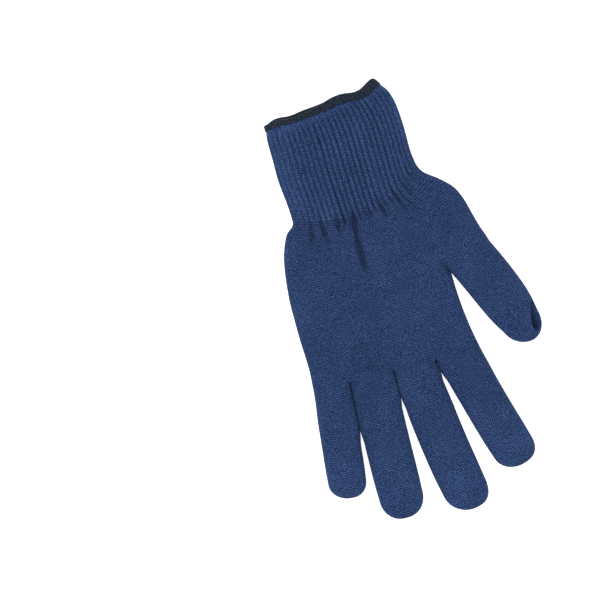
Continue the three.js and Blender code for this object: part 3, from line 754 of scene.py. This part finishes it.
def fingerCloth(layer, inset, rows, root, finger, shape, rootTilt, gaps, sideSwells, shares, uvStart):
    grid = []
    capRows = max(5, round(rows * hand["capRowShare"]))
    capFrom = shape["capFrom"]
    for row in range(rows + 1):
        # rows crowd towards the tip, where the outline turns fastest
        turn = max(0.0, (row - rows + capRows) / capRows) * math.pi / 2
        at = mix(capFrom, 1, math.sin(turn)) if turn > 0 else capFrom * row / (rows - capRows)
        x0, y0, lean = centreLine(root, finger, inset, at)
        tilt = mix(rootTilt, lean, smooth(at / hand["fingerSettling"]))
        offLine = finger[5] * math.sin(turn) ** 2
        x0, y0 = x0 + offLine * math.cos(tilt), y0 + offLine * math.sin(tilt)
        half = halfWidth(finger, shape, at)
        halfIn = max(half / 2, half - inset) * max(0.0, math.cos(turn)) ** shape["capPower"]
        thickness = hand["fingerThickness"] * readTable(shape["rows"], at, 2)
        closing = math.sqrt(max(0.0, 1 - math.sin(turn) ** hand["closingPower"]))
        opened = smooth(at / hand["gapOpening"])
        line = []
        for share in shares:
            s = share * 2 - 1
            side = 0 if s < 0 else 1
            swell = readTable(sideSwells[side], at * finger[2], 1) * opened if sideSwells[side] else 0
            reach = halfIn - gaps[side] * opened * math.cos(turn) + swell * abs(s) ** hand["swellPower"]
            x = x0 + math.cos(tilt) * s * reach
            y = y0 + math.sin(tilt) * s * reach
            up, low = tubeHeights(s, thickness, inset)
            dip = pocketAt(at, s) if shape is hand["thumbShape"] else 0.0
            up -= dip
            heights = (mix(lie["edgeHeight"], up, closing), mix(lie["edgeHeight"], low, closing))
            uv = (uvStart[0] + share * finger[0] / hand["walePitch"],
                  uvStart[1] + at * finger[2] / hand["coursePitch"])
            bare = mix(hand["palmTone"], hand["tipTone"], smooth(at))
            place, uv, shade = clothPoint(x, y, heights, domeShare(s) * closing, layer, uv, inset, 0.0, bare)
            # painted shade: the upper layer's colour darkens in the hollow by the thumb's tip
            if layer == 0:
                shade *= 1 - hand["pocket"]["shade"] * smooth(dip / hand["pocket"]["depth"])
            line.append((place, uv, shade))
        grid.append(line)
    return grid


def makeHand():
    mesh = newCloth()
    palmTop = (lie["wristY"] - forkY) / hand["coursePitch"]
    knuckleCourse = palmTop + hand["forkFromKnuckles"] / hand["coursePitch"]
    thumbRoot = ((forkX + thumbEnd[0]) / 2, (forkY + thumbEnd[1]) / 2)
    cells = hand["fingerCells"]
    for layer in (0, 1):
        rims = []
        for inset in (0.0, hand["wall"]):
            heel = heelCloth(layer, inset, hand["innerHeelRows"] if inset else hand["heelRows"])
            palm = palmCloth(layer, inset, hand["innerPalmRows"] if inset else hand["palmRows"])
            # the palm starts on the heel's last row
            palm[0] = [(place, palm[0][k][1], shade)
                       for k, (place, uv, shade) in enumerate(heel[-1][:len(palmColumns)])]
            addCloth(mesh, heel)
            addCloth(mesh, palm)
            rims.append(heel[0])
            for lane, finger in enumerate(hand["fingers"]):
                gaps = (hand["fingerGap"] / 2 if lane > 0 else 0, hand["fingerGap"] / 2 if lane < 3 else 0)
                rows = hand["innerFingerRows"] if inset else round(finger[2] / hand["fingerRowPitch"])
                sideSwells = (swells[lane - 1] if lane > 0 else None, swells[lane] if lane < 3 else None)
                side = fingerRoots[lane][0] - finger[0] / 2 + palmHalf
                uvStart = (side / hand["walePitch"], knuckleCourse)
                cloth = fingerCloth(layer, inset, rows, fingerRoots[lane], finger, hand["fingerShape"], 0.0,
                                    gaps, sideSwells, laneShares(cells), uvStart)
                start = palm[-1][lane * cells:(lane + 1) * cells + 1]
                cloth[0] = [(start[k][0], cloth[0][k][1], start[k][2]) for k in range(cells + 1)]
                addCloth(mesh, cloth)
            rows = hand["innerFingerRows"] if inset else round(hand["thumb"][2] / hand["fingerRowPitch"])
            uvStart = (hand["palmWidth"] / hand["walePitch"], palmTop)
            cloth = fingerCloth(layer, inset, rows, thumbRoot, hand["thumb"], hand["thumbShape"], thumbLean,
                                (0, 0), (None, None), thumbShares, uvStart)
            start = heel[-1][len(palmColumns) - 1:]
            cloth[0] = [(start[k][0], cloth[0][k][1], start[k][2]) for k in range(len(thumbShares))]
            addCloth(mesh, cloth)
        addCloth(mesh, rims)
    yarn = knittedYarn("navy acrylic yarn, jersey knitted", jerseyLook)
    piece = finishCloth(mesh, "jersey_knit_hand", yarn, lie["sharpEdges"])
    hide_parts("hand_heel", "palm", "little_finger", "ring_finger", "middle_finger", "forefinger",
                "thumb")
    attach(piece, "root")
    return piece


threadLook = {
    # deep is the colour that painted shade darkens the thread towards
    "dark": "#0d131b", "light": "#2b3747", "deep": "#070b11", "bloom": "#7f90b0", "ramp": (0.32, 0.7),
    "fibreScale": 900.0, "bump": 0.5, "relief": 0.15, "roughness": 0.7, "specular": 0.12, "sheen": 0.03,
}


# Polyester thread, overlocked: darker and smoother than the yarn, with a dull gleam along each turn
def overlockThread(look):
    material = bpy.data.materials.new("black polyester thread, overlocked")
    material.use_nodes = True
    tree = material.node_tree
    tree.nodes.clear()
    place = addNode(tree, "ShaderNodeTexCoord", {}).outputs["Object"]
    fibre = addNode(tree, "ShaderNodeTexNoise", {"Vector": place, "Scale": look["fibreScale"], "Detail": 3.0})
    thread = addNode(tree, "ShaderNodeValToRGB", {"Fac": fibre})
    ramp = thread.color_ramp
    ramp.elements[0].position, ramp.elements[1].position = look["ramp"]
    ramp.elements[0].color, ramp.elements[1].color = fromHex(look["dark"]), fromHex(look["light"])
    # painted shade: the shade attribute darkens the thread towards the deep colour in the grooves and the
    # slot
    shade = addNode(tree, "ShaderNodeAttribute", {}, attribute_name="shade").outputs["Fac"]
    colour = addNode(tree, "ShaderNodeMix", {0: shade, 6: fromHex(look["deep"]), 7: thread}, data_type="RGBA")
    bump = addNode(tree, "ShaderNodeBump", {"Height": fibre, "Strength": look["bump"],
                                            "Distance": look["relief"] * mm})
    surface = addNode(tree, "ShaderNodeBsdfPrincipled", {
        "Base Color": colour.outputs[2], "Roughness": look["roughness"], "Normal": bump,
        "Specular IOR Level": look["specular"], "Sheen Weight": look["sheen"],
        "Sheen Tint": fromHex(look["bloom"]),
    })
    addNode(tree, "ShaderNodeOutputMaterial", {"Surface": surface})
    return material


# Evenly spaced stations round the mouth, as (layer, across)
def mouthStations(count):
    samples = []
    for layer in (0, 1):
        for k in range(edgeBand["samples"]):
            turn = math.pi * k / edgeBand["samples"]
            s = -math.cos(turn) if layer == 0 else math.cos(turn)
            samples.append((layer, (s + 1) / 2))
    spots = [Vector(cuffPoint(across, 1, layer, 0)) for layer, across in samples]
    lengths = [0.0]
    for k in range(len(spots)):
        lengths.append(lengths[-1] + (spots[(k + 1) % len(spots)] - spots[k]).length)
    stations = []
    low = 0
    for k in range(count):
        target = lengths[-1] * k / count
        while lengths[low + 1] <= target:
            low += 1
        part = (target - lengths[low]) / (lengths[low + 1] - lengths[low])
        turn = (low + part) / len(samples)
        layer = 0 if turn < 0.5 else 1
        stations.append((layer, (1 - math.cos(2 * math.pi * turn)) / 2))
    return stations


# The band's section as points (how far in from the cuff's skin, how far past its rim). The thread's face goes
# up the outside, over the rim and down the inside, and the slot holds the rim.
def bandSection():
    rimOuter = (cuff["wall"] - cuff["rimWall"]) / 2
    slotOuter = rimOuter - edgeBand["gap"]
    slotInner = rimOuter + cuff["rimWall"] + edgeBand["gap"]
    outside, inside = -edgeBand["reach"], slotInner + edgeBand["layer"]
    middle, half = (outside + inside) / 2, (inside - outside) / 2
    cap = edgeBand["gap"] + edgeBand["layer"]
    leg, bend = edgeBand["width"] - cap, edgeBand["bendStart"]
    outerSteps, bendSteps, innerSteps = (edgeBand[name] for name in ("outerSteps", "bendSteps", "innerSteps"))
    face = [(outside, mix(-leg, -bend, k / outerSteps)) for k in range(outerSteps + 1)]
    for k in range(1, bendSteps):
        turn = math.pi * k / bendSteps
        face.append((middle - half * math.cos(turn), -bend + (cap + bend) * math.sin(turn)))
    face += [(inside, mix(-bend, -leg, k / innerSteps)) for k in range(innerSteps + 1)]
    slot = [(slotInner, -leg), (slotInner, edgeBand["gap"]), (slotOuter, edgeBand["gap"]), (slotOuter, -leg)]
    return face, slot


def makeEdge():
    mesh = newCloth()
    face, slot = bandSection()
    outside, inside, leg = face[0][0], face[-1][0], -face[0][1]
    middle, half = (outside + inside) / 2, (inside - outside) / 2
    section = face + slot + face[:1]
    count = edgeBand["wraps"] * edgeBand["stationsPerWrap"]
    stations = mouthStations(count)
    rows = []
    travelled = 0.0
    for k, (inset, past) in enumerate(section):
        if k:
            travelled += math.hypot(inset - section[k - 1][0], past - section[k - 1][1])
        onThread = k < len(face) or k == len(section) - 1
        line = []
        for station in range(count + 1):
            layer, across = stations[station % count]
            wrap = station / edgeBand["stationsPerWrap"]
            turn = wrap + edgeBand["slant"] * travelled / edgeBand["width"] / 2
            ridge = abs(math.sin(math.pi * turn)) ** edgeBand["ridgePower"]
            bulge = edgeBand["ridge"] * (ridge - edgeBand["ridgeMiddle"]) if onThread else 0
            lumpAt = Vector((wrap / edgeBand["lumpTurns"], travelled / edgeBand["lumpLength"],
                             edgeBand["lumpSeed"]))
            lump = edgeBand["lump"] * noise.noise(lumpAt)
            outwards = max(-1.0, min(1.0, (middle - inset) / half))
            pastHere = past + (bulge + lump * edgeBand["lumpUp"]) * (1 if past > 0 else 0)
            if past < -leg + edgeBand["footZone"]:
                foot = noise.noise(Vector((wrap / edgeBand["footTurns"], 0, edgeBand["footSeed"])))
                pastHere += edgeBand["scallop"] * (0.5 - ridge) + edgeBand["footWave"] * foot
            insetHere = inset - (bulge + lump * edgeBand["lumpOut"]) * outwards if onThread else inset
            # the thread lies flat and narrow where the mouth folds over at its two ends
            atFold = smooth((abs(across * 2 - 1) - edgeBand["foldFrom"]) / edgeBand["foldOver"])
            insetHere = mix(insetHere, max(insetHere, edgeBand["foldInset"]), atFold)
            pastHere *= 1 - edgeBand["foldNarrowing"] * atFold
            # where the front rim lies lower, its edge is narrower, so that its foot stays in line
            if layer == 0:
                pastHere *= 1 - readTable(cuff["rimDrop"], across, 1) / edgeBand["width"]
            x, y, z = cuffPoint(across, 1 + pastHere / cuff["length"], layer, insetHere)
            place = laid(x, y, z, domeShare(across * 2 - 1), layer)
            # painted shade: darker in the grooves between the turns and in the slot
            shade = mix(edgeBand["grooveShade"], 1.0, ridge) if onThread else edgeBand["slotShade"]
            line.append((place, (wrap, travelled), shade))
        rows.append(line)
    # the last row lies on the first, and each row's last station on its first, so that the band is closed
    rows[-1] = [(start[0], *end[1:]) for start, end in zip(rows[0], rows[-1])]
    for line in rows:
        line[-1] = (line[0][0], *line[-1][1:])
    addCloth(mesh, rows)
    piece = finishCloth(mesh, "overlock_thread_edge", overlockThread(threadLook), edgeBand["sharpEdges"])
    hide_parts("overlock_edge")
    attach(piece, "root")
    return piece


studio = {
    "floorColour": "#f4f4f4",
    "floorSize": 2.5,
    "floorDrop": 0.4,       # below the glove, so that no stitch of its underside shows through the floor
    "floorRoughness": 0.95,
    "floorSpecular": 0.1,
    "floorGlow": 0.75,      # a lit table top, which takes the shadows out as in a catalogue picture
    "skyStrength": 1.1,
    "keyEnergy": 5.0,
    "keySize": 0.9,
    "keyPlace": (-0.75, 0.55, 1.3),
    "frameWidth": 333.4,
    "centre": (-42.15, 4.21),
    "turn": -15,
    "lens": 150,
    "sensorWidth": 36,
    "focusHeight": 5,       # half the height of the glove
}


def makeStudio():
    scene = bpy.context.scene
    scene.view_settings.view_transform = "Standard"
    mesh = bmesh.new()
    bmesh.ops.create_grid(mesh, x_segments=1, y_segments=1, size=studio["floorSize"])
    bmesh.ops.translate(mesh, verts=mesh.verts[:], vec=(0, 0, -studio["floorDrop"] * mm))
    data = bpy.data.meshes.new("floor")
    mesh.to_mesh(data)
    mesh.free()
    floor = bpy.data.objects.new("floor", data)
    scene.collection.objects.link(floor)
    paper = bpy.data.materials.new("matt white acrylic, lit")
    paper.use_nodes = True
    shader = paper.node_tree.nodes["Principled BSDF"]
    shader.inputs["Base Color"].default_value = fromHex(studio["floorColour"])
    shader.inputs["Roughness"].default_value = studio["floorRoughness"]
    shader.inputs["Specular IOR Level"].default_value = studio["floorSpecular"]
    shader.inputs["Emission Color"].default_value = (1, 1, 1, 1)
    shader.inputs["Emission Strength"].default_value = studio["floorGlow"]
    data.materials.append(paper)

    world = bpy.data.worlds.new("soft studio")
    world.use_nodes = True
    world.node_tree.nodes["Background"].inputs["Color"].default_value = (1, 1, 1, 1)
    world.node_tree.nodes["Background"].inputs["Strength"].default_value = studio["skyStrength"]
    scene.world = world

    key = bpy.data.lights.new("key", "AREA")
    key.energy = studio["keyEnergy"]
    key.size = studio["keySize"]
    lamp = bpy.data.objects.new("key", key)
    lamp.location = studio["keyPlace"]
    lamp.rotation_euler = (-Vector(studio["keyPlace"])).to_track_quat("-Z", "Y").to_euler()
    scene.collection.objects.link(lamp)

    lens = bpy.data.cameras.new("camera")
    lens.lens = studio["lens"]
    lens.sensor_width = studio["sensorWidth"]
    camera = bpy.data.objects.new("camera", lens)
    distance = studio["frameWidth"] * mm * studio["lens"] / studio["sensorWidth"]
    across, up = studio["centre"]
    camera.location = (across * mm, up * mm, distance + studio["focusHeight"] * mm)
    camera.rotation_euler = (0, 0, math.radians(studio["turn"]))
    scene.collection.objects.link(camera)
    scene.camera = camera
    print("studio ready")


makeStudio()
makeCuff()
makeHand()
makeEdge()
